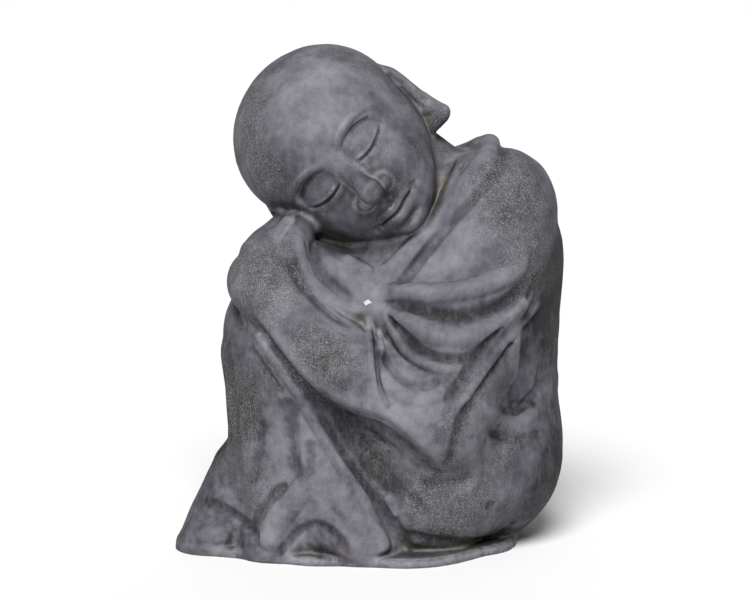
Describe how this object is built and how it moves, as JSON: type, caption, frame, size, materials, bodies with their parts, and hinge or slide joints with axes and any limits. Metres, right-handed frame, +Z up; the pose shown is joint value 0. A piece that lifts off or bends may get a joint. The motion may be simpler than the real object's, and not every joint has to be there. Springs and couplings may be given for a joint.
{
  "type": "monk statue",
  "caption": "Seated monk asleep, knees drawn up and head resting on the hands, in a draped robe; solid cast stone garden figure on a low base cast in one with it",
  "frame": {"origin": "centre of the figure's bounding box in plan, on the flat underside of its base", "axes": "+Z up, -Y the display side that the face looks towards, +X to the right as seen from the display side"},
  "size_m": [0.311, 0.2618, 0.3991],
  "materials": {
    "cast_stone": "matte, fine-grained charcoal cast stone with pale wear on the ridges and darker recesses"
  },
  "bodies": {
    "root": {"resting_monk": "cast_stone"}
  },
  "joints": []
}
